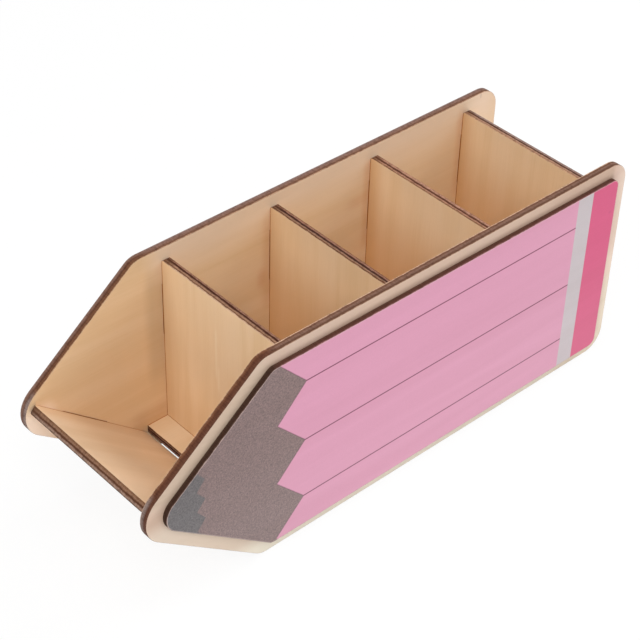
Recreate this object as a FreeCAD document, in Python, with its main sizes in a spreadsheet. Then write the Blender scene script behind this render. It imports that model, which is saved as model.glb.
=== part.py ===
import FreeCAD, Part
import os
import Sketcher

# Desk organiser in the shape of a short pencil lying on its side, with the nose towards -X.
# It is cut from plywood sheet: two side panels held apart by four cross boards, a floor and a
# sloped tray board, all with tabs in slots, and a thinner plaque glued outside the front panel.
# Every board is drawn flat, as it lies on the sheet it is cut from, and then placed.
# The origin is on the table, under the middle of the whole object. +Z is up, and the plaque
# faces -Y. In the panel's own drawing, x = 0 is where the nose starts and y = 0 is the table.

BIN_COUNT = 3

SIZES = {
    # side panels
    "panel_height": 84.0,          # from the table to the long top edge
    "nose_length": 52.0,           # from the nose corners to the point, before it is rounded
    "side_thickness": 3.0,
    "rear_radius": 8.0,            # the two square corners at the blunt end
    "shoulder_radius": 7.0,        # the two corners where the nose starts
    "tip_radius": 11.0,            # the rounded point
    "rear_recess": 14.6,           # from the end wall to the panels' rear edges
    # cross boards
    "inner_width": 60.0,           # clear width between the side panels
    "board_thickness": 3.0,
    "board_top": 79.5,             # top edge of the cross boards above the table
    "divider_setback": 10.9,       # from the nose corners to the first cross board
    "bin_length": 43.5,            # clear length of each bin
    "board_tab_length": 21.0,
    "board_tab_drop": 10.0,        # from a cross board's top edge down to its tabs
    "board_corner_radius": 1.0,    # its two top corners
    # floor
    "floor_top": 12.0,             # height of the floor above the table
    "floor_lip": 8.6,              # the floor's front end, ahead of the first cross board
    "floor_tab_length": 20.0,
    # sloped board in the nose
    "tray_tip_inset": 0.8,         # from its lower front edge to the panels' rounded point
    "tray_front_rise": 3.2,        # that edge above the height of the point
    "tray_floor_gap": 0.6,         # from its upper rear edge to the floor's front edge
    "tray_rear_rise": 0.4,         # that edge above the floor's underside
    "tray_tab_setback": 14.5,      # from its front edge to its tabs
    "tray_tab_length": 22.0,
    "tray_corner_radius": 1.8,
    # plaque
    "plaque_thickness": 2.0,
    "plaque_edge_margin": 4.7,     # panel left bare along the long edges
    "plaque_rear_margin": 6.0,     # at the blunt end
    "plaque_nose_margin": 5.5,     # along the two slopes of the nose
    "plaque_rear_radius": 3.0,
    "plaque_shoulder_radius": 3.5,
    "plaque_tip_radius": 7.0,
    # fits
    "slot_clearance": 0.1,         # round a tab in its slot, on each side
    "tab_recess": 0.15,            # from a tab's end to the panel's outer face
}

# Sizes worked out from the ones above, as expressions over the sheet.
NOSE_ANGLE = "atan(Sizes.panel_height / (2 * Sizes.nose_length))"
BOARD_PITCH = "(Sizes.bin_length + Sizes.board_thickness)"
BOARD_SPAN = f"({BIN_COUNT} * {BOARD_PITCH})"
BODY_LENGTH = (f"(Sizes.divider_setback + {BOARD_SPAN} + Sizes.board_thickness"
               " + Sizes.rear_recess)")
TIP_CENTRE_X = f"(Sizes.tip_radius / sin({NOSE_ANGLE}) - Sizes.nose_length)"
FRONT_END_X = f"({TIP_CENTRE_X} - Sizes.tip_radius)"
MIDDLE_X = f"(({BODY_LENGTH} + {FRONT_END_X}) / 2)"
MIDDLE_Y = "(Sizes.plaque_thickness / 2)"
BOARD_HEIGHT = "(Sizes.board_top - Sizes.floor_top)"
BOARD_TAB_CENTRE = f"({BOARD_HEIGHT} - Sizes.board_tab_drop - Sizes.board_tab_length / 2)"
STRIP_WIDTH = "(Sizes.inner_width + 2 * (Sizes.side_thickness - Sizes.tab_recess))"
SLOT_WIDTH = "(Sizes.board_thickness + 2 * Sizes.slot_clearance)"

FLOOR_FRONT_X = "(Sizes.divider_setback - Sizes.floor_lip)"
FLOOR_LENGTH = f"({BOARD_SPAN} + Sizes.board_thickness + Sizes.floor_lip)"
FLOOR_LEVEL = "(Sizes.floor_top - Sizes.board_thickness)"
FIRST_BIN_CENTRE = "(Sizes.divider_setback + Sizes.board_thickness + Sizes.bin_length / 2)"

TRAY_FRONT_X = (f"({TIP_CENTRE_X} - sqrt((Sizes.tip_radius - Sizes.tray_tip_inset) ^ 2"
                " - Sizes.tray_front_rise ^ 2))")
TRAY_FRONT_Z = "(Sizes.panel_height / 2 + Sizes.tray_front_rise)"
# Run and drop go from the tray's lower front edge to its upper rear edge, corner to corner.
TRAY_RUN = f"({FLOOR_FRONT_X} - Sizes.tray_floor_gap - {TRAY_FRONT_X})"
TRAY_DROP = f"({TRAY_FRONT_Z} - {FLOOR_LEVEL} - Sizes.tray_rear_rise)"
TRAY_LENGTH = f"sqrt({TRAY_RUN} ^ 2 + {TRAY_DROP} ^ 2 - Sizes.board_thickness ^ 2)"
TRAY_ANGLE = f"(atan({TRAY_DROP} / {TRAY_RUN}) + atan(Sizes.board_thickness / {TRAY_LENGTH}))"
TRAY_TAB_CENTRE = "(Sizes.tray_tab_setback + Sizes.tray_tab_length / 2)"
TRAY_SLOT_X = (f"{TRAY_FRONT_X} + cos({TRAY_ANGLE}) * {TRAY_TAB_CENTRE}"
               f" + sin({TRAY_ANGLE}) * Sizes.board_thickness / 2")
TRAY_SLOT_Z = (f"{TRAY_FRONT_Z} - sin({TRAY_ANGLE}) * {TRAY_TAB_CENTRE}"
               f" + cos({TRAY_ANGLE}) * Sizes.board_thickness / 2")

PLAQUE_SHOULDER_X = (f"((Sizes.plaque_nose_margin - Sizes.plaque_edge_margin * cos({NOSE_ANGLE}))"
                     f" / sin({NOSE_ANGLE}))")
PLAQUE_LENGTH = f"({BODY_LENGTH} - Sizes.plaque_rear_margin - {PLAQUE_SHOULDER_X})"
PLAQUE_HEIGHT = "(Sizes.panel_height - 2 * Sizes.plaque_edge_margin)"
PLAQUE_NOSE = "(Sizes.nose_length * (1 - 2 * Sizes.plaque_edge_margin / Sizes.panel_height))"

X = FreeCAD.Vector(1, 0, 0)
Y = FreeCAD.Vector(0, 1, 0)
Z = FreeCAD.Vector(0, 0, 1)
LYING = FreeCAD.Rotation(X, Y, Z, "XYZ")
SIDEWAYS = FreeCAD.Rotation(X, Z, -Y, "XYZ")      # a side panel or plaque, its face towards -Y
CROSSWISE = FreeCAD.Rotation(Y, Z, X, "XYZ")      # a cross board, its face towards -X

doc = FreeCAD.newDocument("PencilHolder")


def make_sheet():
    sheet = doc.addObject("Spreadsheet::Sheet", "Sizes")
    for row, (alias, value) in enumerate(SIZES.items(), start=1):
        sheet.set(f"A{row}", alias)
        sheet.set(f"B{row}", str(value))
        sheet.setAlias(f"B{row}", alias)
    doc.recompute()


def new_board(label, rotation, place):
    """A body drawn flat and then turned to its place, given as expressions for x, y and z."""
    body = doc.addObject("PartDesign::Body", label)
    body.Label = label
    body.Placement = FreeCAD.Placement(FreeCAD.Vector(), rotation)
    for axis, expression in zip("xyz", place):
        body.setExpression(f"Placement.Base.{axis}", expression)
    return body


def flat_sketch(body, name, centre=("0", "0"), turn=None):
    """A sketch on the board's own sheet plane, moved to centre and turned clockwise by turn."""
    sheet_plane = next(f for f in body.Origin.OriginFeatures if f.Role == "XY_Plane")
    sketch = body.newObject("Sketcher::SketchObject", name)
    sketch.AttachmentSupport = (sheet_plane, [""])
    sketch.MapMode = "FlatFace"
    if turn:
        sketch.AttachmentOffset = FreeCAD.Placement(FreeCAD.Vector(), FreeCAD.Rotation(-Z, 45))
        sketch.setExpression("AttachmentOffset.Rotation.Angle", turn)
    sketch.setExpression("AttachmentOffset.Base.x", centre[0])
    sketch.setExpression("AttachmentOffset.Base.y", centre[1])
    return sketch


def closed_outline(sketch, points):
    """Straight edges through the points, joined end to end."""
    corners = [FreeCAD.Vector(x, y, 0) for x, y in points]
    count = len(corners)
    for index in range(count):
        edge = Part.LineSegment(corners[index], corners[(index + 1) % count])
        sketch.addGeometry(edge, False)
    for index in range(count):
        sketch.addConstraint(Sketcher.Constraint("Coincident", index, 2, (index + 1) % count, 1))


def bind(sketch, name, constraint, expression):
    """Add a dimension to the sketch, give it a name and tie it to the sheet."""
    number = sketch.addConstraint(constraint)
    sketch.renameConstraint(number, name)
    sketch.setExpression(f"Constraints.{name}", expression)


def rectangle(body, name, length, width, centre=("0", "0"), turn=None):
    """A rectangle about the sketch's own origin."""
    sketch = flat_sketch(body, name, centre, turn)
    closed_outline(sketch, [(-10, -5), (10, -5), (10, 5), (-10, 5)])
    for edge in (0, 2):
        sketch.addConstraint(Sketcher.Constraint("Horizontal", edge))
    for edge in (1, 3):
        sketch.addConstraint(Sketcher.Constraint("Vertical", edge))
    sketch.addConstraint(Sketcher.Constraint("Symmetric", 0, 1, 1, 2, -1, 1))
    bind(sketch, "length", Sketcher.Constraint("DistanceX", 0, 1, 0, 2, 20), length)
    bind(sketch, "width", Sketcher.Constraint("DistanceY", 1, 1, 1, 2, 10), width)
    return sketch


def pencil_outline(body, name, length, height, nose, corner):
    """A box shape with a symmetric point on the left. Its lower nose corner is at corner."""
    sketch = flat_sketch(body, name, corner)
    closed_outline(sketch, [(0, 0), (150, 0), (150, 80), (0, 80), (-50, 40)])
    sketch.addConstraint(Sketcher.Constraint("Coincident", 0, 1, -1, 1))
    for edge in (0, 2):
        sketch.addConstraint(Sketcher.Constraint("Horizontal", edge))
    sketch.addConstraint(Sketcher.Constraint("Vertical", 1))
    sketch.addConstraint(Sketcher.Constraint("PointOnObject", 2, 2, -2))
    bind(sketch, "length", Sketcher.Constraint("DistanceX", 0, 1, 0, 2, 150), length)
    bind(sketch, "height", Sketcher.Constraint("DistanceY", 1, 1, 1, 2, 80), height)
    bind(sketch, "nose", Sketcher.Constraint("DistanceX", 3, 2, 0, 1, 50), nose)
    bind(sketch, "tip_height", Sketcher.Constraint("DistanceY", 0, 1, 3, 2, 40), f"{height} / 2")
    return sketch


def thicken(body, sketch, name, thickness):
    pad = body.newObject("PartDesign::Pad", name)
    pad.Profile = sketch
    pad.setExpression("Length", thickness)
    sketch.Visibility = False
    doc.recompute()
    return pad


def cut_through(body, sketch, name):
    """Cut the sketch right through the board, and prove that it removed material."""
    before = body.Shape.Volume
    pocket = body.newObject("PartDesign::Pocket", name)
    pocket.Profile = sketch
    pocket.Type = "ThroughAll"
    pocket.Reversed = True
    doc.recompute()
    if body.Shape.Volume >= before:
        raise RuntimeError(f"{body.Label}: {name} cuts nothing")
    return pocket


def repeat_along(body, feature, name, sketch, axis, count, span):
    """Copies of a pad or a pocket in a row, the last one at span from the first."""
    pattern = body.newObject("PartDesign::LinearPattern", name)
    pattern.Originals = [feature]
    pattern.Direction = (sketch, [axis])
    pattern.Occurrences = count
    pattern.setExpression("Length", span)
    body.Tip = pattern
    doc.recompute()
    return pattern


def corner_points(pad):
    """The outline's corners as (x, y), from left to right."""
    return sorted({(round(v.X, 3), round(v.Y, 3)) for v in pad.Shape.Vertexes})


def pencil_corners(pad):
    """The same corners, grouped as on the pencil: rear, shoulder and tip."""
    tip, lower, upper, *rear = corner_points(pad)
    return {"rear": rear, "shoulder": [lower, upper], "tip": [tip]}


def round_corners(body, base, name, corners, radius):
    """Round the upright edges that stand at the given corners."""
    shape = base.Shape
    edges = []
    for number, edge in enumerate(shape.Edges, start=1):
        ends = [(round(v.X, 3), round(v.Y, 3)) for v in edge.Vertexes]
        if len(ends) == 2 and ends[0] == ends[1] and ends[0] in corners:
            edges.append(f"Edge{number}")
    if len(edges) != len(corners):
        raise RuntimeError(f"{body.Label}: {name} found {len(edges)} edges")
    fillet = body.newObject("PartDesign::Fillet", name)
    fillet.Base = (base, edges)
    fillet.setExpression("Radius", radius)
    doc.recompute()
    return fillet


def pencil_board(label, outline, thickness, radii, place):
    """A pencil-shaped board with rounded corners. The body's own outline starts at x = y = 0."""
    body = new_board(label, SIDEWAYS, place)
    sketch = pencil_outline(body, f"{label}_outline", *outline)
    feature = thicken(body, sketch, f"{label}_blank", thickness)
    corners = pencil_corners(feature)
    for where, radius in radii.items():
        feature = round_corners(body, feature, f"{label}_{where}_round", corners[where], radius)
    return body


def side_panel(label, inner_face_y):
    """A side panel, cut with a slot for every tab. Its sheet plane is placed at inner_face_y."""
    radii = {
        "rear": "Sizes.rear_radius",
        "shoulder": "Sizes.shoulder_radius",
        "tip": "Sizes.tip_radius",
    }
    outline = (BODY_LENGTH, "Sizes.panel_height", "Sizes.nose_length", ("0", "0"))
    place = (f"-{MIDDLE_X}", inner_face_y, "0")
    body = pencil_board(label, outline, "Sizes.side_thickness", radii, place)

    board_slot = rectangle(
        body, f"{label}_board_slot_sketch",
        SLOT_WIDTH, "Sizes.board_tab_length + 2 * Sizes.slot_clearance",
        ("Sizes.divider_setback + Sizes.board_thickness / 2", f"Sizes.floor_top + {BOARD_TAB_CENTRE}"))
    pocket = cut_through(body, board_slot, f"{label}_board_slot")
    repeat_along(body, pocket, f"{label}_board_slots", board_slot, "H_Axis",
                 BIN_COUNT + 1, BOARD_SPAN)

    floor_slot = rectangle(
        body, f"{label}_floor_slot_sketch",
        "Sizes.floor_tab_length + 2 * Sizes.slot_clearance", SLOT_WIDTH,
        (FIRST_BIN_CENTRE, "Sizes.floor_top - Sizes.board_thickness / 2"))
    pocket = cut_through(body, floor_slot, f"{label}_floor_slot")
    repeat_along(body, pocket, f"{label}_floor_slots", floor_slot, "H_Axis",
                 BIN_COUNT, f"{BOARD_SPAN} - {BOARD_PITCH}")

    tray_slot = rectangle(
        body, f"{label}_tray_slot_sketch",
        "Sizes.tray_tab_length + 2 * Sizes.slot_clearance", SLOT_WIDTH,
        (TRAY_SLOT_X, TRAY_SLOT_Z), TRAY_ANGLE)
    cut_through(body, tray_slot, f"{label}_tray_slot")
    return body


def cross_board(label, number):
    """A board across the bins, standing on the floor. number counts from the nose."""
    place = (f"Sizes.divider_setback + {number} * {BOARD_PITCH} - {MIDDLE_X}",
             MIDDLE_Y, "Sizes.floor_top")
    body = new_board(label, CROSSWISE, place)
    blank = rectangle(body, f"{label}_outline", "Sizes.inner_width", BOARD_HEIGHT,
                      ("0", f"{BOARD_HEIGHT} / 2"))
    board = thicken(body, blank, f"{label}_blank", "Sizes.board_thickness")
    top_corners = [corner for corner in corner_points(board) if corner[1] > 0]
    round_corners(body, board, f"{label}_top_round", top_corners, "Sizes.board_corner_radius")
    strip = rectangle(body, f"{label}_tab_sketch", STRIP_WIDTH, "Sizes.board_tab_length",
                      ("0", BOARD_TAB_CENTRE))
    thicken(body, strip, f"{label}_tabs", "Sizes.board_thickness")
    return body


def floor_board():
    """The raised floor, from its lip in the tray to the rear face of the end wall."""
    label = "floor_board"
    place = (f"{FLOOR_FRONT_X} - {MIDDLE_X}", MIDDLE_Y, FLOOR_LEVEL)
    body = new_board(label, LYING, place)
    blank = rectangle(body, f"{label}_outline", FLOOR_LENGTH, "Sizes.inner_width",
                      (f"{FLOOR_LENGTH} / 2", "0"))
    thicken(body, blank, f"{label}_blank", "Sizes.board_thickness")
    strip = rectangle(body, f"{label}_tab_sketch", "Sizes.floor_tab_length", STRIP_WIDTH,
                      (f"{FIRST_BIN_CENTRE} - {FLOOR_FRONT_X}", "0"))
    tab = thicken(body, strip, f"{label}_tab", "Sizes.board_thickness")
    repeat_along(body, tab, f"{label}_tabs", strip, "H_Axis", BIN_COUNT, f"{BOARD_SPAN} - {BOARD_PITCH}")
    return body


def tray_board():
    """The sloped board in the nose, placed by its lower front edge."""
    label = "nose_tray_board"
    place = (f"{TRAY_FRONT_X} - {MIDDLE_X}", MIDDLE_Y, TRAY_FRONT_Z)
    body = new_board(label, FreeCAD.Rotation(Y, 45), place)
    body.setExpression("Placement.Rotation.Angle", TRAY_ANGLE)
    blank = rectangle(body, f"{label}_outline", TRAY_LENGTH, "Sizes.inner_width",
                      (f"{TRAY_LENGTH} / 2", "0"))
    board = thicken(body, blank, f"{label}_blank", "Sizes.board_thickness")
    round_corners(body, board, f"{label}_round", corner_points(board), "Sizes.tray_corner_radius")
    strip = rectangle(body, f"{label}_tab_sketch", "Sizes.tray_tab_length", STRIP_WIDTH,
                      (TRAY_TAB_CENTRE, "0"))
    thicken(body, strip, f"{label}_tabs", "Sizes.board_thickness")
    return body


def plaque():
    """The thin board on the front panel, set in from the panel's edges."""
    radii = {
        "rear": "Sizes.plaque_rear_radius",
        "shoulder": "Sizes.plaque_shoulder_radius",
        "tip": "Sizes.plaque_tip_radius",
    }
    corner = (PLAQUE_SHOULDER_X, "Sizes.plaque_edge_margin")
    outline = (PLAQUE_LENGTH, PLAQUE_HEIGHT, PLAQUE_NOSE, corner)
    place = (f"-{MIDDLE_X}", f"{MIDDLE_Y} - Sizes.inner_width / 2 - Sizes.side_thickness", "0")
    return pencil_board("front_plaque", outline, "Sizes.plaque_thickness", radii, place)


def build():
    make_sheet()
    half_width = "Sizes.inner_width / 2"
    pieces = [
        side_panel("front_side_panel", f"{MIDDLE_Y} - {half_width}"),
        side_panel("rear_side_panel", f"{MIDDLE_Y} + {half_width} + Sizes.side_thickness"),
        plaque(),
    ]
    for number, label in enumerate(("nose_divider", "middle_divider", "rear_divider", "end_wall")):
        pieces.append(cross_board(label, number))
    pieces.append(floor_board())
    pieces.append(tray_board())
    doc.recompute()
    return pieces


def check(pieces):
    """Stop before anything is written if a feature failed or a piece isn't one sound solid."""
    for item in doc.Objects:
        if {"Invalid", "Error"} & set(item.State):
            raise RuntimeError(f"{item.Name} failed: {item.State}")
    for piece in pieces:
        shape = piece.Shape
        if shape.isNull() or not shape.isValid() or len(shape.Solids) != 1:
            raise RuntimeError(f"{piece.Label} isn't one valid solid")


def write(pieces):
    os.makedirs("parts", exist_ok=True)
    for piece in pieces:
        piece.Shape.exportStep(f"parts/{piece.Label}.step")
        box = piece.Shape.BoundBox
        low = (round(box.XMin, 2), round(box.YMin, 2), round(box.ZMin, 2))
        high = (round(box.XMax, 2), round(box.YMax, 2), round(box.ZMax, 2))
        print(piece.Label, low, high, round(piece.Shape.Volume, 1))


all_pieces = build()
check(all_pieces)
write(all_pieces)
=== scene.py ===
"""Looks of the pencil-shaped desk organiser: pale laser-cut plywood with charred edges, and a printed
pencil plaque on its front. Every board is an eased and finished copy of its CAD node. Metres."""

import math

import bmesh
import bpy
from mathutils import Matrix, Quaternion, Vector


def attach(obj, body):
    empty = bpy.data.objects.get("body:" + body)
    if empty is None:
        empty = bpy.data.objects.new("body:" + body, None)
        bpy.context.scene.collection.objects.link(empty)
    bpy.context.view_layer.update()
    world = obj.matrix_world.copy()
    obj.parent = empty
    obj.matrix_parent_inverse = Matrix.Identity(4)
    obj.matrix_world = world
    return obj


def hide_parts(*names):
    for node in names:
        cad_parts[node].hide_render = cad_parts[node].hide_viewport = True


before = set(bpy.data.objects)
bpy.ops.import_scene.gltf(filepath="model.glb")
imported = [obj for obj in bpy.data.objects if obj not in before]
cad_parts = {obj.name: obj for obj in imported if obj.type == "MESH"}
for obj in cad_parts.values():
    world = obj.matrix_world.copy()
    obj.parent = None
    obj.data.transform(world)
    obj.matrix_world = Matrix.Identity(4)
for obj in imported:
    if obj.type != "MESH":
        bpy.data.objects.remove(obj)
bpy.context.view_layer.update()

MM = 0.001
ALONG = Vector((1, 0, 0))
ACROSS = Vector((0, 1, 0))
UP = Vector((0, 0, 1))

# node: way of the face grain, way that the ply layers are counted, rim width in mm,
# paleness of the veneer on the first and on the last layer, finishes of faces and of cut edges
BOARDS = {
    "front_side_panel": (ALONG, ACROSS, 1.2, (1.0, 0.0), "panel_plywood", "front_cut_edge"),
    "rear_side_panel": (ALONG, -ACROSS, 1.2, (0.4, 0.0), "panel_plywood", "rear_cut_edge"),
    "nose_divider": (UP, ALONG, 0.6, (0.0, 0.0), "board_plywood", "nose_divider_cut_edge"),
    "middle_divider": (UP, ALONG, 0.6, (0.0, 0.0), "board_plywood", "board_cut_edge"),
    "rear_divider": (UP, ALONG, 0.6, (0.0, 0.0), "board_plywood", "rear_divider_cut_edge"),
    "end_wall": (UP, ALONG, 0.6, (0.0, 0.0), "board_plywood", "end_wall_cut_edge"),
    "floor_board": (ALONG, -UP, 0.6, (0.1, 0.1), "board_plywood", "board_cut_edge"),
    "nose_tray_board": (ALONG, -UP, 0.6, (0.35, 0.35), "board_plywood", "tray_cut_edge"),
    "front_plaque": (ALONG, ACROSS, 0.35, (0.0, 0.0), "printed_face", "plaque_cut_edge"),
}

# Work on the boards' meshes, in metres and radians
WELD = 1e-6
FLAT_ANGLE = math.radians(0.5)
SHARP_ANGLE = math.radians(60)
SHEET_FACE = 0.999      # a face whose normal agrees this well with the board's is a side of the sheet
EASING = 0.1 * MM       # what the laser melts off every arris
EASING_STEPS = 2
GRAIN_SHIFT = Vector((173.0, 67.0, 0.0))    # in mm, from each board to the next

# The CAD's places, in mm on the frame's axes
REAR_FACE = 31.0        # y of the rear side panel's inner face
FRONT_FACE = -29.0      # y of the front side panel's inner face
OUTER_FACE = -31.5      # beyond this y lies the front side panel's outer face
FLOOR_TOP = 12.0
ABOVE_FLOOR = 12.01     # just clear of the floor board's own top
FLOOR_FRONT = -58.9     # x just behind the floor board's front edge
TOP_Z = 84.0            # top edges of the side panels
MIDDLE_Z = TOP_Z / 2
NOSE_POINT_X = -112.9   # where the two slopes of the nose would meet
NOSE_RUN = 52.0         # length of the nose up to that point
SLOPE_SIN = math.sin(math.atan2(MIDDLE_Z, NOSE_RUN))
SLOPE_COS = math.cos(math.atan2(MIDDLE_Z, NOSE_RUN))


def paint(red, green, blue):
    """A colour given as it looks on a screen, 0 to 255, as Blender's linear colour."""
    linear = []
    for level in (red, green, blue):
        share = level / 255
        if share <= 0.04045:
            linear.append(share / 12.92)
        else:
            linear.append(((share + 0.055) / 1.055) ** 2.4)
    return (*linear, 1.0)


WHITE = paint(255, 255, 255)

# Veneer. The stops are shades at levels of a noise, 0 to 1.
WARM_VENEER = [(0.38, paint(232, 203, 168)), (0.5, paint(230, 200, 163)), (0.62, paint(227, 196, 157))]
PALE_VENEER = paint(212, 186, 168)
LIGHTER_VENEER = paint(236, 224, 205)      # near the table this is painted light bounced from the table; also used at the blunt end, outside PALE_AREA
PALE_AREA = {"Centre": (-20, 0, 70), "Half": (120, 99, 60), "Fade": (7, 9, 9)}
OUTER_STREAKS = [(0.38, WHITE), (0.62, paint(248, 245, 241))]
CLOUD_SHADES = [(0.3, paint(255, 252, 248)), (0.7, paint(250, 250, 250))]
FIBRE_SHADES = [(0.30, paint(249, 247, 244)), (0.62, WHITE)]
PORE_BROWN = paint(176, 138, 100)
PORE_STRENGTH = 0.09
PORE_LEVELS = (0.60, 0.74)
PORE_DEPTH = 0.6
VENEER_RELIEF = 0.03 * MM
VENEER_ROUGHNESS = (0.66, 0.52)
VENEER_SHINE = 0.2

# Smoke stain and painted contact shade beside the plaque, from nothing to full: inward from the panel's
# edge, and upwards
SMOKE_AND_SHADE = paint(128, 98, 82)
SMOKE_AND_SHADE_STRENGTH = 0.22
SMOKE_AND_SHADE_INWARD = (2.0, 4.7)
SMOKE_AND_SHADE_UPWARD = (38.0, 50.0)

# Stain on the faces along their edges, over the rim value that mark_rims writes
SCORCH = paint(210, 184, 164)
SCORCH_STRENGTH = 0.3
SCORCH_REACH = 0.55
SCORCH_END = 1.05
SCORCH_WANDER = 0.5

# Corners of the bins: seams from nothing to full, in mm from the board they meet, and painted warm
# shade towards the rear side panel
SEAM_BROWN = paint(164, 92, 4)
SEAM_STRENGTH = 0.95
SIDE_SEAM = (0.40, 0.15)
FLOOR_SEAM = (0.35, 0.15)
CORNER_SHADE = paint(196, 142, 74)
CORNER_SHADE_WIDTH = 9.0
CORNER_SHADE_STRENGTH = (0.15, 0.4)       # on the first two cross boards, and on the last two
CORNER_SHADE_CHANGE_X = (10.0, 30.0)

# Marks that the photo shows: centre, half size and fade in mm, strength and colour
PANEL_MARKS = (
    ((98.1, 31.0, 83.0), (0.05, 0.5, 0.6), (0.3, 0.8, 0.9), 0.7, paint(110, 66, 46)),
    ((-7.6, 31.0, 50.5), (0.3, 0.5, 1.0), (3.0, 1.0, 5.0), 0.22, paint(190, 104, 54)),
    ((37.0, 31.0, 62.8), (0.3, 0.5, 1.0), (7.0, 1.0, 2.5), 0.14, paint(190, 104, 54)),
    # painted warm shade in the rear side panel's low corner by the floor board's front
    ((-57.0, 31.0, 14.0), (4.0, 0.5, 2.0), (8.0, 1.0, 6.0), 0.30, paint(176, 116, 66)),
    ((-104.0, 31.0, 32.0), (5.0, 0.5, 8.0), (6.0, 1.0, 8.0), 0.75, paint(250, 232, 218)),
    # painted light: the rear side panel's inner face lighter along its top
    ((25.0, 31.0, 84.0), (75.0, 0.5, 4.0), (10.0, 1.0, 14.0), 0.35, paint(250, 228, 212)),
    # painted light bounced from the table, low on the front panel's outer face at the nose
    ((-80.0, -32.0, 12.0), (30.0, 0.5, 22.0), (20.0, 1.0, 9.0), 0.42, paint(238, 228, 208)),
    ((-85.0, -32.0, 66.0), (22.0, 0.5, 16.0), (8.0, 1.0, 6.0), 0.25, paint(186, 180, 158)),
    ((104.0, -32.0, 58.0), (3.0, 0.5, 22.0), (2.0, 1.0, 8.0), 0.45, paint(242, 212, 198)),
    ((94.0, -32.0, 84.0), (10.0, 0.5, 3.0), (28.0, 1.0, 3.0), 0.18, paint(170, 138, 118)),
    # painted light bounced from the table, along the front panel's foot
    ((-10.0, -32.0, 0.0), (80.0, 0.5, 3.0), (20.0, 1.0, 9.0), 0.50, paint(238, 232, 216)),
    ((104.0, 31.0, 60.0), (6.0, 0.5, 40.0), (8.0, 1.0, 8.0), 0.22, paint(242, 222, 212)),
    # painted shade on the rear side panel beside each cross board, on these four lines
    ((-53.0, 31.0, 54.0), (1.5, 0.5, 14.0), (5.0, 1.0, 18.0), 0.27, paint(150, 128, 100)),
    ((-4.4, 31.0, 56.0), (0.5, 0.5, 14.0), (4.0, 1.0, 9.0), 0.22, paint(190, 118, 50)),
    ((42.0, 31.0, 60.0), (0.5, 0.5, 14.0), (3.0, 1.0, 9.0), 0.22, paint(196, 118, 44)),
    ((88.6, 31.0, 62.0), (0.5, 0.5, 14.0), (3.0, 1.0, 9.0), 0.20, paint(196, 118, 44)),
)
BOARD_MARKS = (
    ((-50.35, 3.4, 57.0), (0.4, 0.1, 8.0), (0.4, 0.7, 4.0), 0.22, paint(244, 228, 204)),
    ((-50.35, 2.2, 47.0), (0.4, 0.1, 3.0), (0.4, 0.7, 4.0), 0.22, paint(244, 228, 204)),
    ((-59.72, 1.0, 9.54), (0.34, 30.0, 0.16), (0.2, 0.5, 0.08), 0.95, paint(255, 246, 236)),
    ((-54.5, 1.0, 12.0), (4.0, 32.0, 0.2), (1.0, 1.0, 0.2), 0.25, paint(176, 160, 136)),
    ((-85.0, -22.0, 30.0), (14.0, 7.0, 14.0), (15.0, 20.0, 15.0), 0.5, paint(244, 212, 178)),
    # painted warm shade, lower down in the bins towards the blunt end
    ((45.0, 1.0, 20.0), (52.0, 32.0, 10.0), (1.0, 1.0, 40.0), 0.5, paint(238, 186, 130)),
    ((-50.35, -12.0, 15.0), (0.4, 14.0, 6.0), (0.4, 12.0, 10.0), 0.30, paint(228, 208, 172)),
)
PRINT_MARKS = (
    ((98.3, -34.0, 66.0), (0.3, 0.4, 0.2), (1.0, 0.6, 0.8), 0.25, paint(176, 60, 110)),
)

# Plies of the cut edges: colours at depths in mm, counted as BOARDS says
FRONT_PLIES = [
    (0.00, paint(186, 154, 132)),
    (0.10, paint(170, 136, 114)),
    (0.26, paint(110, 76, 60)),
    (0.75, paint(96, 65, 49)),
    (1.50, paint(132, 100, 86)),
    (1.85, paint(126, 93, 78)),
    (2.30, paint(104, 69, 51)),
    (2.58, paint(116, 80, 60)),
    (2.72, paint(212, 176, 150)),
]
FRONT_NOSE_PLIES = [
    (0.00, paint(122, 88, 70)),
    (0.08, paint(104, 70, 54)),
    (0.40, paint(96, 61, 46)),
    (1.60, paint(90, 52, 36)),
    (2.30, paint(116, 76, 54)),
    (2.66, paint(120, 80, 56)),
    (2.86, paint(206, 168, 138)),
]
REAR_PLIES = [
    (0.10, paint(144, 118, 110)),
    (0.75, paint(130, 101, 91)),
    (1.50, paint(137, 103, 89)),
    (2.05, paint(116, 81, 64)),
    (2.55, paint(114, 77, 57)),
    (2.82, paint(186, 148, 120)),
]
REAR_NOSE_PLIES = [
    (0.10, paint(132, 104, 92)),
    (0.70, paint(130, 98, 84)),
    (1.50, paint(92, 56, 40)),
    (2.20, paint(116, 78, 56)),
    (2.74, paint(108, 70, 46)),
    (2.94, paint(186, 146, 112)),
]
NOSE_DIVIDER_PLIES = [
    (0.00, paint(214, 178, 150)),
    (0.22, paint(196, 160, 132)),
    (0.38, paint(106, 70, 46)),
    (0.66, paint(112, 76, 52)),
    (1.00, paint(160, 122, 98)),
    (1.30, paint(156, 118, 96)),
    (1.62, paint(62, 26, 12)),
    (2.08, paint(62, 26, 12)),
    (2.46, paint(152, 112, 92)),
    (2.74, paint(152, 112, 92)),
    (2.94, paint(118, 78, 56)),
]
BOARD_PLIES = [
    (0.00, paint(190, 154, 124)),
    (0.08, paint(160, 124, 96)),
    (0.22, paint(98, 60, 34)),
    (0.48, paint(100, 62, 38)),
    (0.80, paint(158, 120, 98)),
    (1.08, paint(152, 116, 96)),
    (1.34, paint(52, 18, 8)),
    (1.84, paint(54, 20, 9)),
    (2.20, paint(154, 112, 94)),
    (2.55, paint(154, 112, 92)),
    (2.84, paint(112, 73, 50)),
]
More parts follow.
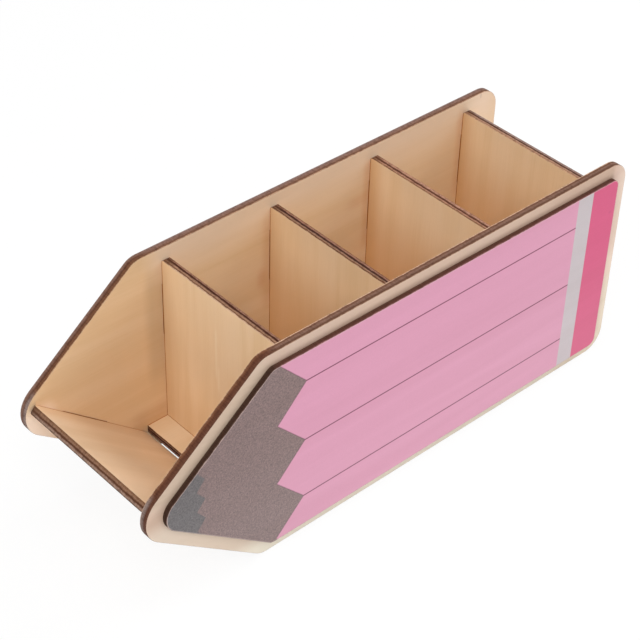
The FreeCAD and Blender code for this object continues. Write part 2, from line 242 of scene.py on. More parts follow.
REAR_DIVIDER_PLIES = [
    (0.00, paint(170, 128, 96)),
    (0.08, paint(146, 106, 76)),
    (0.26, paint(116, 76, 48)),
    (0.75, paint(182, 138, 114)),
    (1.00, paint(160, 116, 94)),
    (1.26, paint(76, 32, 15)),
    (1.66, paint(76, 32, 15)),
    (2.10, paint(172, 128, 106)),
    (2.50, paint(184, 140, 118)),
    (2.95, paint(150, 104, 78)),
]
END_WALL_PLIES = [
    (0.00, paint(208, 168, 136)),
    (0.18, paint(184, 144, 114)),
    (0.40, paint(142, 102, 76)),
    (0.80, paint(172, 132, 108)),
    (1.15, paint(174, 136, 114)),
    (1.50, paint(74, 39, 24)),
    (1.86, paint(74, 40, 27)),
    (2.20, paint(152, 124, 112)),
    (2.55, paint(158, 134, 126)),
    (2.95, paint(146, 124, 116)),
]
TRAY_PLIES = [
    (0.00, paint(134, 98, 72)),
    (0.35, paint(122, 86, 62)),
    (0.80, paint(146, 110, 87)),
    (1.10, paint(138, 103, 81)),
    (1.42, paint(88, 54, 36)),
    (1.76, paint(90, 56, 38)),
    (2.20, paint(158, 128, 112)),
    (2.55, paint(146, 120, 104)),
    (2.90, paint(98, 76, 66)),
]
PLAQUE_PLIES = [
    (0.00, paint(170, 120, 126)),
    (0.12, paint(132, 90, 90)),
    (0.45, paint(90, 55, 49)),
    (1.10, paint(78, 47, 38)),
    (1.90, paint(90, 62, 50)),
]
PLAQUE_NOSE_PLIES = [
    (0.00, paint(170, 148, 140)),
    (0.06, paint(96, 74, 66)),
    (0.40, paint(58, 39, 31)),
    (1.10, paint(58, 39, 30)),
    (1.90, paint(74, 54, 42)),
]

# finish: thickness of the sheet, plies, and plies on the nose
CUT_EDGES = {
    "front_cut_edge": (3.0, FRONT_PLIES, FRONT_NOSE_PLIES),
    "rear_cut_edge": (3.0, REAR_PLIES, REAR_NOSE_PLIES),
    "board_cut_edge": (3.0, BOARD_PLIES, None),
    "nose_divider_cut_edge": (3.0, NOSE_DIVIDER_PLIES, None),
    "rear_divider_cut_edge": (3.0, REAR_DIVIDER_PLIES, None),
    "end_wall_cut_edge": (3.0, END_WALL_PLIES, None),
    "tray_cut_edge": (3.0, TRAY_PLIES, None),
    "plaque_cut_edge": (2.0, PLAQUE_PLIES, PLAQUE_NOSE_PLIES),
}
PLY_WANDER = 0.9                    # mm that the plies' borders wander
NOSE_SLOPE_X = (-53.0, -59.0)        # the plies change over to those of the nose, darker ones on the slopes
ASH = paint(146, 132, 127)
ASH_STRENGTH = 0.7
ASH_X = (-101.0, -104.5)            # from nothing to full, towards the tip
ASH_DEPTH = (0.3, 0.75)             # the same, as shares of the thickness
SHADED_END = paint(82, 52, 32)        # painted shade on the boards' edges against the rear side panel
SHADED_END_STRENGTH = 0.55
SHADED_END_Y = (25.0, 29.0)
CUT_LINES = [(0.32, paint(214, 208, 204)), (0.62, WHITE)]
BURNT = paint(60, 34, 24)
BURNT_STRENGTH = 0.45
BURNT_SPECK = (0.50, 0.66)
SPECK_HEIGHT = 0.5
CUT_RELIEF = 0.06 * MM
CUT_ROUGHNESS = (0.5, 0.8)
CUT_SHINE = 0.1

# The print, in mm on the frame's x and z
PINK = paint(216, 151, 178)
RIB_COLOUR = paint(98, 4, 54)
CONE = paint(149, 124, 121)
LEAD = paint(119, 114, 115)
FERRULE = paint(196, 187, 190)
ERASER = paint(212, 80, 125)
BARE_RIM = paint(214, 190, 182)
RIB_MIDDLE = 42.70
RIB_PITCH = 24.87
RIB_LINE = (0.135, 0.315)           # half width of a rib's line, from full to nothing
RIB_STRENGTH = 0.95
CONE_TIPS_X = -44.6
CONE_TOOTH = 11.7
LEAD_TIPS_X = -85.4
LEAD_TOOTH = 3.3
LEAD_PITCH = 8.29
FERRULE_START = 79.95
FERRULE_END = 87.55
BORDER_LINE = (0.1, 0.45)           # half width of the line round the cone, from full to nothing
BORDER_STRENGTH = 0.35
SOFT_STEP = 0.1                     # half width of the step from one ink to the next
LEAD_STEP = 0.15                    # the same round the lead
INK_WANDER = 0.25
SPECKLE_SHADES = [(0.32, paint(170, 170, 170)), (0.68, WHITE)]
SPECKLE_ON_PINK = 0.08
SPECKLE_ON_GREY = 0.92              # on top of that on pink
SPECKLE_ON_LEAD = 0.2               # on top of both
PAINTED_SHEEN_STRENGTH = 0.04
PAINTED_SHEEN_Z = (66.0, 4.0)               # painted sheen whitening the print, from nothing to full, towards the table
GRAIN_UNDER_INK = [(0.3, WHITE), (0.7, paint(249, 247, 246))]
BARE_RIM_STRENGTH = 0.6
BARE_RIM_FROM = (0.35, 0.7)         # from nothing to full, over the rim value
INK_PORE_DEPTH = 0.5
INK_RELIEF = 0.02 * MM
INK_ROUGHNESS = (0.5, 0.42)
INK_SHINE = 0.4

# Camera: place and reach in metres, angles in degrees, lens and sensor in mm
CAMERA_PLACE = Vector((-0.325758, -0.340267, 0.428188))
CAMERA_HEADING = 43.0334
CAMERA_FALL = 38.9809
CAMERA_ROLL = 1.8368
CAMERA_LENS = 100.0
CAMERA_SENSOR = 36.0
CAMERA_REACH = (0.02, 20.0)

# name, place, width and power of each round soft lamp, all aimed at the part
LAMPS = (
    ("key_lamp", (-0.8, -0.85, 1.5), 1.0, 17.5),
    ("top_lamp", (0.0, 0.0, 1.6), 1.2, 5.5),
    ("nose_lamp", (-1.5, 0.1, 0.9), 1.0, 6.5),
    ("tail_lamp", (1.3, -0.3, 1.2), 1.0, 12.5),
    ("front_lamp", (0.1, -1.5, 0.9), 1.0, 3.0),
)
SURROUND = 0.26                     # strength of the white surround as light
TABLE_WHITE = paint(246, 246, 246)
TABLE_HALF_WIDTH = 3.0
TABLE_GLOW = 0.9                    # share of plain white in what is seen of the table
# where the table doesn't glow, in mm
UNDER_ORGANISER = {"Centre": (19, 1, 0), "Half": (69, 28, 9), "Fade": (3, 3, 9)}


class Recipe:
    """Writes one node tree: a finish, or an effect that finishes share."""

    def __init__(self, tree):
        self.tree = tree

    def feed(self, socket, value):
        if isinstance(value, bpy.types.NodeSocket):
            self.tree.links.new(value, socket)
        else:
            socket.default_value = value

    def add(self, kind, inputs=None, **settings):
        made = self.tree.nodes.new("ShaderNode" + kind)
        for name, value in settings.items():
            setattr(made, name, value)
        for name, value in (inputs or {}).items():
            self.feed(made.inputs[name], value)
        return made

    def math(self, operation, *values):
        made = self.add("Math", operation=operation)
        for socket, value in zip(made.inputs, values):
            self.feed(socket, value)
        return made.outputs[0]

    def scale(self, value, factor):
        return self.math("MULTIPLY", value, factor)

    def vector(self, operation, *values):
        made = self.add("VectorMath", operation=operation)
        for socket, value in zip(made.inputs, values):
            self.feed(socket, value)
        return made.outputs["Value" if operation == "LENGTH" else "Vector"]

    def split(self, vector):
        """The outputs X, Y and Z of a vector."""
        return self.add("SeparateXYZ", {"Vector": vector}).outputs

    def noise(self, place, stretch, detail=2.0, roughness=0.5, distortion=0.0):
        """Noise, 0 to 1, at a place in mm. Stretch is its waves per mm along x, y and z."""
        stretched = self.vector("MULTIPLY", place, stretch)
        inputs = {
            "Vector": stretched,
            "Scale": 1.0,
            "Detail": detail,
            "Roughness": roughness,
            "Distortion": distortion,
        }
        return self.add("TexNoise", inputs).outputs[0]

    def rise(self, value, low, high):
        """0 below low, 1 above high, and a soft step between them. It falls where low is above high."""
        inputs = {"Value": value, "From Min": low, "From Max": high}
        return self.add("MapRange", inputs, interpolation_type="SMOOTHSTEP").outputs[0]

    def span(self, value, low, high):
        """The value, 0 to 1, stretched to run from low to high."""
        inputs = {"Value": value, "To Min": low, "To Max": high}
        return self.add("MapRange", inputs).outputs[0]

    def blend(self, share, first, second, way="MIX"):
        made = self.add("Mix", data_type="RGBA", blend_type=way)
        self.feed(made.inputs[0], share)
        self.feed(made.inputs[6], first)
        self.feed(made.inputs[7], second)
        return made.outputs[2]

    def shade(self, share, tone, shades):
        """The tone, darkened by the shades as far as share says."""
        return self.blend(share, tone, shades, "MULTIPLY")

    def ramp(self, value, stops):
        made = self.add("ValToRGB", {"Fac": value})
        marks = made.color_ramp.elements
        marks[0].position, marks[0].color = stops[0]
        marks[1].position, marks[1].color = stops[-1]
        for place, colour in stops[1:-1]:
            marks.new(place).color = colour
        return made.outputs["Color"]

    def use(self, effect, **inputs):
        """The outputs of a shared effect, placed with its own values."""
        made = self.tree.nodes.new("ShaderNodeGroup")
        made.node_tree = effect
        for name, value in inputs.items():
            self.feed(made.inputs[name], value)
        return made.outputs

    def surface(self, tone, roughness, shine, height, relief):
        """The finish's own shader, with its shine set on the shader's own socket."""
        bump = self.add("Bump", {"Height": height, "Distance": relief, "Strength": 1.0})
        inputs = {
            "Base Color": tone,
            "Roughness": roughness,
            "Specular IOR Level": shine,
            "Normal": bump.outputs[0],
        }
        shader = self.add("BsdfPrincipled", inputs)
        output = self.add("OutputMaterial")
        self.tree.links.new(shader.outputs[0], output.inputs["Surface"])


def new_effect(name, takes, gives):
    """An empty shared effect, its recipe, its inputs and its outlet."""
    group = bpy.data.node_groups.new(name, "ShaderNodeTree")
    for socket, kind in takes.items():
        group.interface.new_socket(socket, in_out="INPUT", socket_type="NodeSocket" + kind)
    for socket, kind in gives.items():
        group.interface.new_socket(socket, in_out="OUTPUT", socket_type="NodeSocket" + kind)
    entry = group.nodes.new("NodeGroupInput")
    outlet = group.nodes.new("NodeGroupOutput")
    return group, Recipe(group), entry.outputs, outlet.inputs


def new_finish(name):
    material = bpy.data.materials.new(name)
    material.use_nodes = True
    material.node_tree.nodes.clear()
    return material, Recipe(material.node_tree)


def make_grain():
    """Birch face grain. Place is in mm with x along the grain, and z through the board."""
    takes = {"Place": "Vector"}
    gives = {"Band": "Float", "Fibre": "Float", "Pore": "Float", "Cloud": "Float"}
    group, recipe, given, outlet = new_effect("birch_grain", takes, gives)
    place = given["Place"]
    band = recipe.noise(place, (0.007, 0.11, 0.4), detail=3.0, roughness=0.55, distortion=0.6)
    fibre = recipe.noise(place, (0.06, 2.6, 1.5), detail=3.0, roughness=0.6)
    dashes = recipe.noise(place, (0.30, 3.4, 1.5), detail=1.0)
    cloud = recipe.noise(place, (0.025, 0.03, 0.2), detail=2.0)
    recipe.feed(outlet["Band"], band)
    recipe.feed(outlet["Fibre"], fibre)
    recipe.feed(outlet["Pore"], recipe.rise(dashes, *PORE_LEVELS))
    recipe.feed(outlet["Cloud"], cloud)
    return group


def make_rim_scorch():
    """Smoke stain that the cutting leaves on a face along its edge, uneven along the cut."""
    takes = {"Rim": "Float", "Place": "Vector", "Reach": "Float"}
    group, recipe, given, outlet = new_effect("rim_scorch", takes, {"Scorch": "Float"})
    uneven = recipe.noise(given["Place"], (0.25, 0.25, 0.25), detail=3.0, roughness=0.6)
    off_centre = recipe.math("SUBTRACT", uneven, 0.5)
    shifted = recipe.math("MULTIPLY_ADD", off_centre, SCORCH_WANDER, given["Rim"])
    start = recipe.math("SUBTRACT", 1.0, given["Reach"])
    recipe.feed(outlet["Scorch"], recipe.rise(shifted, start, SCORCH_END))
    return group


def make_smudge():
    """1 inside a box round Centre, fading to 0 at Fade outside it. All in mm."""
    takes = {"Place": "Vector", "Centre": "Vector", "Half": "Vector", "Fade": "Vector"}
    group, recipe, given, outlet = new_effect("smudge", takes, {"Smudge": "Float"})
    offset = recipe.vector("ABSOLUTE", recipe.vector("SUBTRACT", given["Place"], given["Centre"]))
    outside = recipe.vector("MAXIMUM", recipe.vector("SUBTRACT", offset, given["Half"]), (0, 0, 0))
    length = recipe.vector("LENGTH", recipe.vector("DIVIDE", outside, given["Fade"]))
    recipe.feed(outlet["Smudge"], recipe.math("SUBTRACT", 1.0, recipe.rise(length, 0.0, 1.0)))
    return group


def make_cut():
    """Marks of the laser on a cut edge: fine lines across the plies, and uneven char."""
    takes = {"Place": "Vector"}
    gives = {"Line": "Float", "Char": "Float", "Speck": "Float"}
    group, recipe, given, outlet = new_effect("laser_cut", takes, gives)
    line = recipe.noise(given["Place"], (3.2, 3.2, 0.25), detail=2.0, roughness=0.6)
    char = recipe.noise(given["Place"], (0.35, 0.35, 0.8), detail=4.0, roughness=0.65)
    speck = recipe.noise(given["Place"], (0.8, 0.8, 1.4), detail=3.0, roughness=0.65)
    recipe.feed(outlet["Line"], line)
    recipe.feed(outlet["Char"], char)
    recipe.feed(outlet["Speck"], speck)
    return group


def make_effects():
    return {
        "grain": make_grain(),
        "rim_scorch": make_rim_scorch(),
        "smudge": make_smudge(),
        "cut": make_cut(),
    }


def board_place(recipe):
    """The place on the board in mm, as mark_places writes it."""
    return recipe.add("Attribute", attribute_name="place").outputs["Vector"]


def rim_share(recipe):
    return recipe.add("Attribute", attribute_name="rim").outputs["Fac"]


def object_mm(recipe):
    """Object coordinates in mm."""
    spot = recipe.add("TexCoord").outputs["Object"]
    return recipe.vector("MULTIPLY", spot, (1 / MM, 1 / MM, 1 / MM))


def add_marks(recipe, effects, spot, tone, marks):
    for centre, half, fade, strength, colour in marks:
        smudge = recipe.use(effects["smudge"], Place=spot, Centre=centre, Half=half, Fade=fade)
        tone = recipe.blend(recipe.scale(smudge["Smudge"], strength), tone, colour)
    return tone


def veneer_tone(recipe, effects, spot, grain, pale):
    """Warm veneer inside the organiser, and paler veneer where pale is 1."""
    warm = recipe.ramp(grain["Band"], WARM_VENEER)
    area = recipe.use(effects["smudge"], Place=spot, **PALE_AREA)
    # the lighter veneer near the table is painted light bounced from the table
    outer = recipe.blend(area["Smudge"], LIGHTER_VENEER, PALE_VENEER)
    outer = recipe.shade(1.0, outer, recipe.ramp(grain["Band"], OUTER_STREAKS))
    tone = recipe.blend(pale, warm, outer)
    return recipe.shade(1.0, tone, recipe.ramp(grain["Cloud"], CLOUD_SHADES))


def beside_plaque(recipe, axes):
    """1 against the plaque's upper edges on the front panel, fading towards the panel's own edge: where
    smoke stain and painted contact shade lie.
    """
    off_middle = recipe.math("ABSOLUTE", recipe.math("SUBTRACT", axes["Z"], MIDDLE_Z))
    from_long_edge = recipe.math("SUBTRACT", MIDDLE_Z, off_middle)
    ahead = recipe.scale(recipe.math("SUBTRACT", axes["X"], NOSE_POINT_X), SLOPE_SIN)
    from_slope = recipe.math("MULTIPLY_ADD", off_middle, -SLOPE_COS, ahead)
    inward = recipe.math("MINIMUM", from_long_edge, from_slope)
    outer_face = recipe.math("LESS_THAN", axes["Y"], OUTER_FACE)
    above = recipe.math("MULTIPLY", recipe.rise(axes["Z"], *SMOKE_AND_SHADE_UPWARD), outer_face)
    return recipe.math("MULTIPLY", recipe.rise(inward, *SMOKE_AND_SHADE_INWARD), above)


def grain_lines(recipe, tone, grain, figure):
    """The tone with fibres and pores, as strong as figure says."""
    fibre = recipe.ramp(grain["Fibre"], FIBRE_SHADES)
    tone = recipe.blend(figure, tone, recipe.shade(1.0, tone, fibre))
    pore = recipe.scale(grain["Pore"], PORE_STRENGTH * figure)
    return recipe.blend(pore, tone, PORE_BROWN)


def seam_share(recipe, axes):
    """1 in the hair's breadth where a cross board meets a side panel or the floor."""
    start, full = SIDE_SEAM
    rear = recipe.rise(axes["Y"], REAR_FACE - start, REAR_FACE - full)
    front = recipe.rise(axes["Y"], FRONT_FACE + start, FRONT_FACE + full)
    start, full = FLOOR_SEAM
    low = recipe.rise(axes["Z"], FLOOR_TOP + start, FLOOR_TOP + full)
    above_floor = recipe.math("GREATER_THAN", axes["Z"], ABOVE_FLOOR)
    behind_tray = recipe.math("GREATER_THAN", axes["X"], FLOOR_FRONT)
    low = recipe.math("MULTIPLY", low, recipe.math("MULTIPLY", above_floor, behind_tray))
    return recipe.math("MAXIMUM", recipe.math("MAXIMUM", rear, front), low)


def shade_and_seams(recipe, axes, tone):
    """The tone of a board, with painted warm shade towards the rear side panel, and brown seams."""
    strength = recipe.span(recipe.rise(axes["X"], *CORNER_SHADE_CHANGE_X), *CORNER_SHADE_STRENGTH)
    near_panel = recipe.rise(axes["Y"], REAR_FACE - CORNER_SHADE_WIDTH, REAR_FACE)
    tone = recipe.blend(recipe.math("MULTIPLY", near_panel, strength), tone, CORNER_SHADE)
    return recipe.blend(recipe.scale(seam_share(recipe, axes), SEAM_STRENGTH), tone, SEAM_BROWN)


def make_plywood(name, effects, marks, figure, seams_and_shade):
    """Birch veneer whose grain shows by figure, 0 to 1."""
    material, recipe = new_finish(name)
    place = board_place(recipe)
    spot = object_mm(recipe)
    axes = recipe.split(spot)
    grain = recipe.use(effects["grain"], Place=place)
    pale = recipe.add("Attribute", attribute_name="pale").outputs["Fac"]
    tone = veneer_tone(recipe, effects, spot, grain, pale)
    # smoke stain together with painted contact shade beside the plaque
    smoke_and_shade = recipe.math("MULTIPLY", beside_plaque(recipe, axes), recipe.scale(pale, SMOKE_AND_SHADE_STRENGTH))
    tone = recipe.blend(smoke_and_shade, tone, SMOKE_AND_SHADE)
    tone = grain_lines(recipe, tone, grain, figure)
    scorch = recipe.use(
        effects["rim_scorch"], Rim=rim_share(recipe), Place=place, Reach=SCORCH_REACH
    )
    tone = recipe.blend(recipe.scale(scorch["Scorch"], SCORCH_STRENGTH), tone, SCORCH)
    tone = add_marks(recipe, effects, spot, tone, marks)
    # brown seams, and painted warm shade towards the rear side panel
    if seams_and_shade:
        tone = shade_and_seams(recipe, axes, tone)
    height = recipe.math("MULTIPLY_ADD", grain["Pore"], -PORE_DEPTH, grain["Fibre"])
    roughness = recipe.span(grain["Fibre"], *VENEER_ROUGHNESS)
    recipe.surface(tone, roughness, VENEER_SHINE, height, VENEER_RELIEF)
    return material


def ply_tone(recipe, depth, thickness, plies):
    """The plies' colours at a depth that is a share of the thickness."""
    return recipe.ramp(depth, [(at / thickness, colour) for at, colour in plies])


def nose_edge_tone(recipe, axes, depth, tone, nose_tone):
    """The tone of a panel's edge, which changes over to the nose's own and is ashen at the tip."""
    tone = recipe.blend(recipe.rise(axes["X"], *NOSE_SLOPE_X), tone, nose_tone)
    ashen = recipe.math("MULTIPLY", recipe.rise(axes["X"], *ASH_X), recipe.rise(depth, *ASH_DEPTH))
    return recipe.blend(recipe.scale(ashen, ASH_STRENGTH), tone, ASH)


def make_cut_edge(name, effects, thickness, plies, nose_plies):
    """The charred edge of a sheet, with its plies, fine laser lines and burnt specks."""
    material, recipe = new_finish(name)
    place = board_place(recipe)
    axes = recipe.split(object_mm(recipe))
    cut = recipe.use(effects["cut"], Place=place)
    uneven = recipe.math("SUBTRACT", cut["Char"], 0.5)
    wander = recipe.math("MULTIPLY_ADD", uneven, PLY_WANDER, recipe.split(place)["Z"])
    depth = recipe.math("DIVIDE", wander, thickness)
    tone = ply_tone(recipe, depth, thickness, plies)
    if nose_plies:
        nose_tone = ply_tone(recipe, depth, thickness, nose_plies)
        tone = nose_edge_tone(recipe, axes, depth, tone, nose_tone)
    else:
        # painted shade on the edges where a board meets the rear side panel
        shaded_end = recipe.scale(recipe.rise(axes["Y"], *SHADED_END_Y), SHADED_END_STRENGTH)
        tone = recipe.blend(shaded_end, tone, SHADED_END)
    tone = recipe.shade(1.0, tone, recipe.ramp(cut["Line"], CUT_LINES))
    burnt = recipe.scale(recipe.rise(cut["Speck"], *BURNT_SPECK), BURNT_STRENGTH)
    tone = recipe.blend(burnt, tone, BURNT)
    height = recipe.math("ADD", cut["Line"], recipe.scale(cut["Speck"], SPECK_HEIGHT))
    roughness = recipe.span(cut["Speck"], *CUT_ROUGHNESS)
    recipe.surface(tone, roughness, CUT_SHINE, height, CUT_RELIEF)
    return material


def zigzag_edge(recipe, height, middle, pitch, tips, tooth):
    """x of a border whose points reach x = tips at the middle and at every pitch from it."""
    swing = recipe.math("PINGPONG", recipe.math("SUBTRACT", height, middle), pitch / 2)
    return recipe.math("MULTIPLY_ADD", swing, -tooth / (pitch / 2), tips)


def soft_step(recipe, value, at):
    return recipe.rise(value, at - SOFT_STEP, at + SOFT_STEP)


def pink_barrel(recipe, height):
    """Pink, with a rib wherever the height is a whole number of pitches from the middle one."""
    off_rib = recipe.math("PINGPONG", recipe.math("SUBTRACT", height, RIB_MIDDLE), RIB_PITCH / 2)
    rib = recipe.math("SUBTRACT", 1.0, recipe.rise(off_rib, *RIB_LINE))
    return recipe.blend(recipe.scale(rib, RIB_STRENGTH), PINK, RIB_COLOUR)


def print_tone(recipe, axes, past_cone, in_cone, in_lead):
    """The inks of barrel, cone, lead, ferrule and eraser."""
    tone = pink_barrel(recipe, axes["Z"])
    border = recipe.math("SUBTRACT", 1.0, recipe.rise(recipe.math("ABSOLUTE", past_cone), *BORDER_LINE))
    tone = recipe.blend(in_cone, tone, CONE)
    tone = recipe.blend(recipe.scale(border, BORDER_STRENGTH), tone, RIB_COLOUR)
    tone = recipe.blend(in_lead, tone, LEAD)
    tone = recipe.blend(soft_step(recipe, axes["X"], FERRULE_START), tone, FERRULE)
    return recipe.blend(soft_step(recipe, axes["X"], FERRULE_END), tone, ERASER)


def ink_speckle(recipe, spot, tone, in_cone, in_lead):
    """The printer's fine dots, faint on the colours and strong on cone and lead."""
    dots = recipe.noise(spot, (1.7, 1.7, 1.7), detail=3.0, roughness=0.8)
    speckle = recipe.ramp(dots, SPECKLE_SHADES)
    strength = recipe.math("MULTIPLY_ADD", in_cone, SPECKLE_ON_GREY, SPECKLE_ON_PINK)
    tone = recipe.shade(strength, tone, speckle)
    return recipe.shade(recipe.scale(in_lead, SPECKLE_ON_LEAD), tone, speckle)


def make_printed_face(effects):
    """Ink on the plaque: grey lead and cone, pink barrel with ribs, pale ferrule, deep pink eraser."""
    material, recipe = new_finish("printed_face")
    spot = object_mm(recipe)
    axes = recipe.split(spot)
    grain = recipe.use(effects["grain"], Place=board_place(recipe))
    blur = recipe.noise(spot, (1.3, 1.3, 1.3), detail=2.0)
    across = recipe.math("MULTIPLY_ADD", recipe.math("SUBTRACT", blur, 0.5), INK_WANDER, axes["X"])
    cone_edge = zigzag_edge(recipe, axes["Z"], RIB_MIDDLE, RIB_PITCH, CONE_TIPS_X, CONE_TOOTH)
    lead_edge = zigzag_edge(recipe, axes["Z"], RIB_MIDDLE, LEAD_PITCH, LEAD_TIPS_X, LEAD_TOOTH)
    past_cone = recipe.math("SUBTRACT", across, cone_edge)
    past_lead = recipe.math("SUBTRACT", across, lead_edge)
    in_cone = recipe.rise(past_cone, SOFT_STEP, -SOFT_STEP)
    in_lead = recipe.rise(past_lead, LEAD_STEP, -LEAD_STEP)
    tone = print_tone(recipe, axes, past_cone, in_cone, in_lead)
    tone = ink_speckle(recipe, spot, tone, in_cone, in_lead)
    # painted sheen: the print is whitened towards the table
    painted_sheen = recipe.scale(recipe.rise(axes["Z"], *PAINTED_SHEEN_Z), PAINTED_SHEEN_STRENGTH)
    tone = recipe.blend(painted_sheen, tone, WHITE)
    tone = add_marks(recipe, effects, spot, tone, PRINT_MARKS)
    tone = recipe.shade(1.0, tone, recipe.ramp(grain["Band"], GRAIN_UNDER_INK))
    rim = recipe.rise(rim_share(recipe), *BARE_RIM_FROM)
    tone = recipe.blend(recipe.scale(rim, BARE_RIM_STRENGTH), tone, BARE_RIM)
    height = recipe.math("MULTIPLY_ADD", grain["Pore"], -INK_PORE_DEPTH, grain["Fibre"])
    roughness = recipe.span(grain["Fibre"], *INK_ROUGHNESS)
    recipe.surface(tone, roughness, INK_SHINE, height, INK_RELIEF)
    return material


def make_finishes(effects):
    """All finishes, by name."""
    made = [
        make_plywood("panel_plywood", effects, PANEL_MARKS, figure=0.4, seams_and_shade=False),
        make_plywood("board_plywood", effects, BOARD_MARKS, figure=0.55, seams_and_shade=True),
    ]
    for name, (thickness, plies, nose_plies) in CUT_EDGES.items():
        made.append(make_cut_edge(name, effects, thickness, plies, nose_plies))
    made.append(make_printed_face(effects))
    return {material.name: material for material in made}


def merged_copy(node):
    """The CAD node's loose triangles as one closed skin of flat faces."""
    skin = bmesh.new()
    skin.from_mesh(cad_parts[node].data)
    bmesh.ops.remove_doubles(skin, verts=skin.verts, dist=WELD)
    bmesh.ops.dissolve_limit(skin, angle_limit=FLAT_ANGLE, verts=skin.verts, edges=skin.edges)
    skin.normal_update()
    return skin


def is_seated(edge, lowest):
    """Whether the edge lies against a side panel, or under a board that stands on the floor board."""
    seats = [(1, REAR_FACE * MM), (1, FRONT_FACE * MM)]
    if abs(lowest - FLOOR_TOP * MM) < WELD:
        seats.append((2, lowest))
    return any(all(abs(end.co[way] - seat) < WELD for end in edge.verts) for way, seat in seats)


def ease_arrises(skin, crosswise):
    """Rounds every outward edge by the little that the laser melts away, but not the edges of a
    board between the side panels against its neighbours."""
    arrises = [
        edge for edge in skin.edges
        if edge.is_convex and edge.calc_face_angle() > SHARP_ANGLE
    ]
    if crosswise:
        lowest = min(corner.co.z for corner in skin.verts)
        arrises = [edge for edge in arrises if not is_seated(edge, lowest)]
    bmesh.ops.bevel(
        skin,
        geom=arrises,
        affect="EDGES",
        offset=EASING,
        segments=EASING_STEPS,
        profile=0.5,
        material=-1,
        clamp_overlap=True,
    )
    skin.normal_update()


def board_axes(skin, grain, through):
    """The board's own axes: along its grain, across it, and through its thickness."""
    normal = max(skin.faces, key=lambda face: face.calc_area()).normal.copy()
    if normal.dot(through) < 0:
        normal.negate()
    along = (grain - normal * grain.dot(normal)).normalized()
    return along, normal.cross(along), normal


def mark_rims(skin, normal, width):
    """Insets the two faces of the sheet, with a rim value from 1 at the cut to 0 inside."""
    rim = skin.verts.layers.float.new("rim")
    for corner in skin.verts:
        corner[rim] = 1.0
    sheets = [face for face in skin.faces if abs(face.normal.dot(normal)) > SHEET_FACE]
    for face in skin.faces:
        face.material_index = 1
    for face in sheets:
        face.material_index = 0
    bmesh.ops.inset_region(skin, faces=sheets, thickness=width, use_even_offset=True)
    for face in sheets:
        for corner in face.verts:
            corner[rim] = 0.0


def mark_places(skin, axes, number, paleness):
    """Writes each vertex's place on its board in mm, with the grain shifted from board to board."""
    place = skin.verts.layers.float_vector.new("place")
    pale = skin.verts.layers.float.new("pale")
    starts = [min(corner.co.dot(axis) for corner in skin.verts) for axis in axes]
    thickness = max(corner.co.dot(axes[2]) for corner in skin.verts) - starts[2]
    first, last = paleness
    for corner in skin.verts:
        steps = [corner.co.dot(axis) - start for axis, start in zip(axes, starts)]
        corner[place] = Vector(steps) / MM + GRAIN_SHIFT * number
        corner[pale] = first + (last - first) * steps[2] / thickness


def finish_board(node, number, spec, finishes):
    grain, through, rim_width, paleness, face_finish, edge_finish = spec
    skin = merged_copy(node)
    ease_arrises(skin, face_finish == "board_plywood")
    axes = board_axes(skin, grain, through)
    mark_rims(skin, axes[2], rim_width * MM)
    mark_places(skin, axes, number, paleness)
    for face in skin.faces:
        face.smooth = True
    for edge in skin.edges:
        edge.smooth = edge.calc_face_angle() < SHARP_ANGLE
    mesh = bpy.data.meshes.new("finished_" + node)
    skin.to_mesh(mesh)
    skin.free()
    mesh.materials.append(finishes[face_finish])
    mesh.materials.append(finishes[edge_finish])
    board = bpy.data.objects.new("finished_" + node, mesh)
    bpy.context.scene.collection.objects.link(board)
    board.modifiers.new("even_shading", "WEIGHTED_NORMAL").keep_sharp = True
    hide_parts(node)
    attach(board, "root")


def add_camera():
    camera = bpy.data.cameras.new("photo_camera")
    camera.lens = CAMERA_LENS
    camera.sensor_width = CAMERA_SENSOR
    camera.clip_start, camera.clip_end = CAMERA_REACH
    holder = bpy.data.objects.new("photo_camera", camera)
    heading = math.radians(CAMERA_HEADING)
    fall = math.radians(CAMERA_FALL)
    look = Vector((
        math.sin(heading) * math.cos(fall),
        math.cos(heading) * math.cos(fall),
        -math.sin(fall),
    ))
    turn = look.to_track_quat("-Z", "Y") @ Quaternion((0, 0, 1), math.radians(CAMERA_ROLL))
    holder.rotation_mode = "QUATERNION"
    holder.rotation_quaternion = turn
    holder.location = CAMERA_PLACE
    bpy.context.scene.collection.objects.link(holder)
    bpy.context.scene.camera = holder


def add_lamp(name, place, width, power):
    lamp = bpy.data.lights.new(name, "AREA")
    lamp.shape = "DISK"
    lamp.size = width
    lamp.energy = power
    holder = bpy.data.objects.new(name, lamp)
    holder.location = Vector(place)
    holder.rotation_mode = "QUATERNION"
    holder.rotation_quaternion = (-holder.location).to_track_quat("-Z", "Y")
    bpy.context.scene.collection.objects.link(holder)


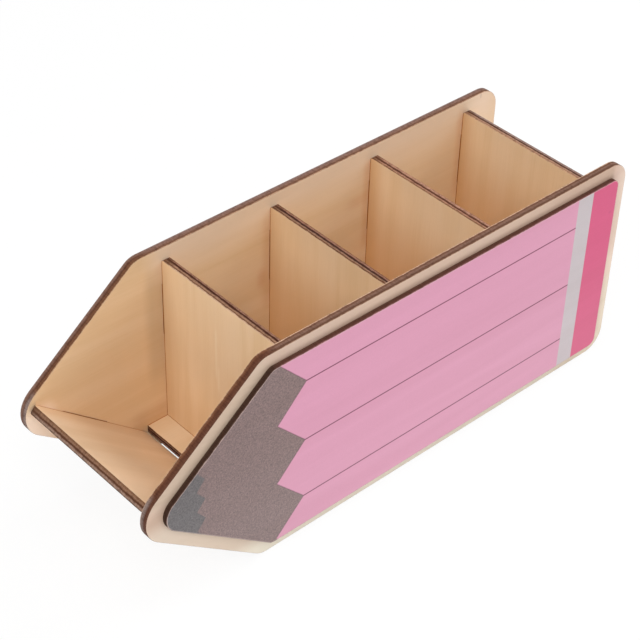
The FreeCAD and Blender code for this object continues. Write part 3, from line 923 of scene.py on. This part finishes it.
def seen_directly(recipe):
    """1 for what the camera, a gloss or a glass sees, 0 for light that falls on the object."""
    path = recipe.add("LightPath").outputs
    either = recipe.math("MAXIMUM", path["Is Camera Ray"], path["Is Glossy Ray"])
    return recipe.math("MAXIMUM", either, path["Is Transmission Ray"])


def light_room():
    """An even white surround."""
    world = bpy.data.worlds.new("white_room")
    world.use_nodes = True
    world.node_tree.nodes.clear()
    recipe = Recipe(world.node_tree)
    strength = recipe.span(seen_directly(recipe), SURROUND, 1.0)
    sky = recipe.add("Background", {"Color": WHITE, "Strength": strength})
    output = recipe.add("OutputWorld")
    recipe.tree.links.new(sky.outputs[0], output.inputs["Surface"])
    bpy.context.scene.world = world


def make_table_finish(effects):
    """White that glows where it is seen and keeps a soft shadow, without the glow under the
    organiser's floor."""
    material, recipe = new_finish("white_floor")
    matt = recipe.add("BsdfDiffuse", {"Color": TABLE_WHITE})
    glow = recipe.add("Emission", {"Color": WHITE, "Strength": 1.0})
    under = recipe.use(effects["smudge"], Place=object_mm(recipe), **UNDER_ORGANISER)
    glowing = recipe.span(under["Smudge"], TABLE_GLOW, 0.0)
    mixed = recipe.add("MixShader", {"Fac": recipe.math("MULTIPLY", seen_directly(recipe), glowing)})
    recipe.tree.links.new(matt.outputs[0], mixed.inputs[1])
    recipe.tree.links.new(glow.outputs[0], mixed.inputs[2])
    output = recipe.add("OutputMaterial")
    recipe.tree.links.new(mixed.outputs[0], output.inputs["Surface"])
    return material


def add_floor(effects):
    """The table top that the organiser stands on."""
    top = bmesh.new()
    bmesh.ops.create_grid(top, x_segments=1, y_segments=1, size=TABLE_HALF_WIDTH)
    mesh = bpy.data.meshes.new("studio_floor")
    top.to_mesh(mesh)
    top.free()
    mesh.materials.append(make_table_finish(effects))
    floor = bpy.data.objects.new("studio_floor", mesh)
    bpy.context.scene.collection.objects.link(floor)


def dress_organiser():
    add_camera()
    light_room()
    for lamp in LAMPS:
        add_lamp(*lamp)
    effects = make_effects()
    add_floor(effects)
    finishes = make_finishes(effects)
    for number, (node, spec) in enumerate(BOARDS.items()):
        finish_board(node, number, spec, finishes)
    bpy.context.scene.view_settings.view_transform = "Standard"


dress_organiser()
